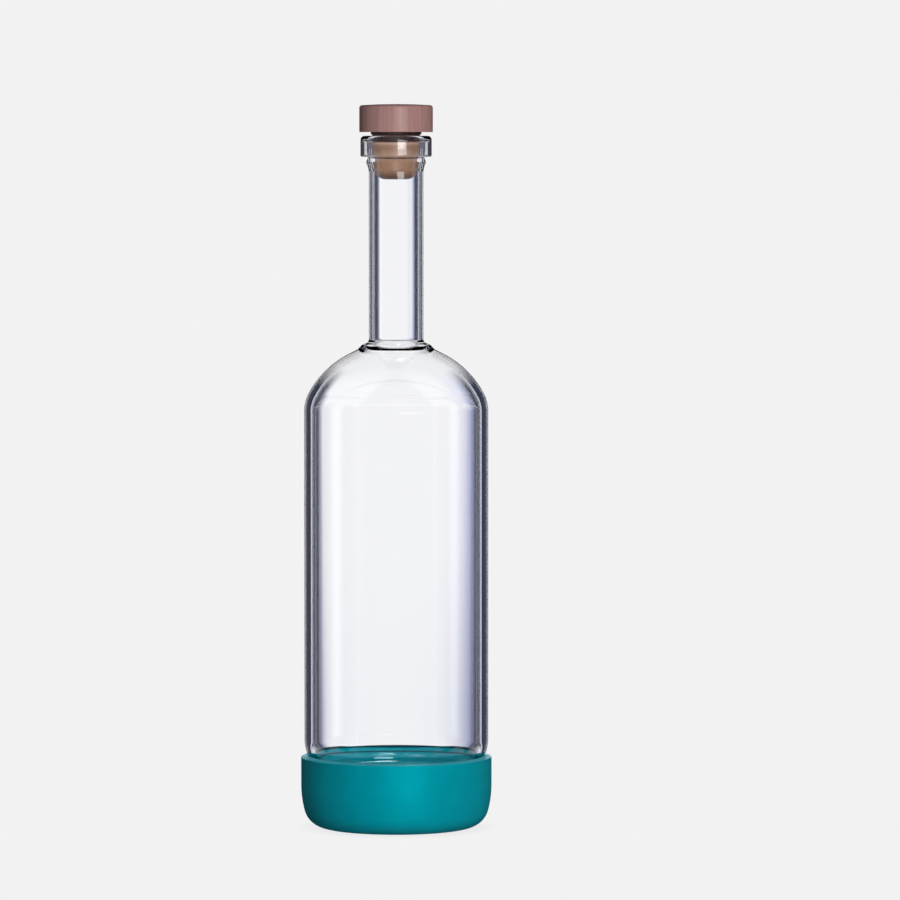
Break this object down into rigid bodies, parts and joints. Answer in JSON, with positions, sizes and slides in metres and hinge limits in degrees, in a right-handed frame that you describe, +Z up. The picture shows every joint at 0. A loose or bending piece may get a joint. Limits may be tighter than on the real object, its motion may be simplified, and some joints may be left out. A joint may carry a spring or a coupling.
{
  "type": "infusion bottle",
  "caption": "Clear glass infusion bottle with a tall narrow neck, a thick silicone boot and a wooden-headed taper stopper.",
  "frame": {"origin": "centre of the boot's foot, on the surface the bottle stands on", "axes": "+Z up along the bottle's axis to the stopper; the bottle is turned about Z, so +X and +Y are any two level directions, with the front view looking along +Y"},
  "size_m": [0.0726, 0.0726, 0.2752],
  "materials": {
    "glass": "clear polished, blown and tooled",
    "silicone": "matte teal silicone",
    "plug": "smooth tan, satin",
    "wood_head": "pinkish brown fine-grained wood, satin"
  },
  "bodies": {
    "root": {"glass_bottle": "glass", "silicone_boot": "silicone", "stopper_plug": "plug", "stopper_head": "wood_head"}
  },
  "joints": []
}
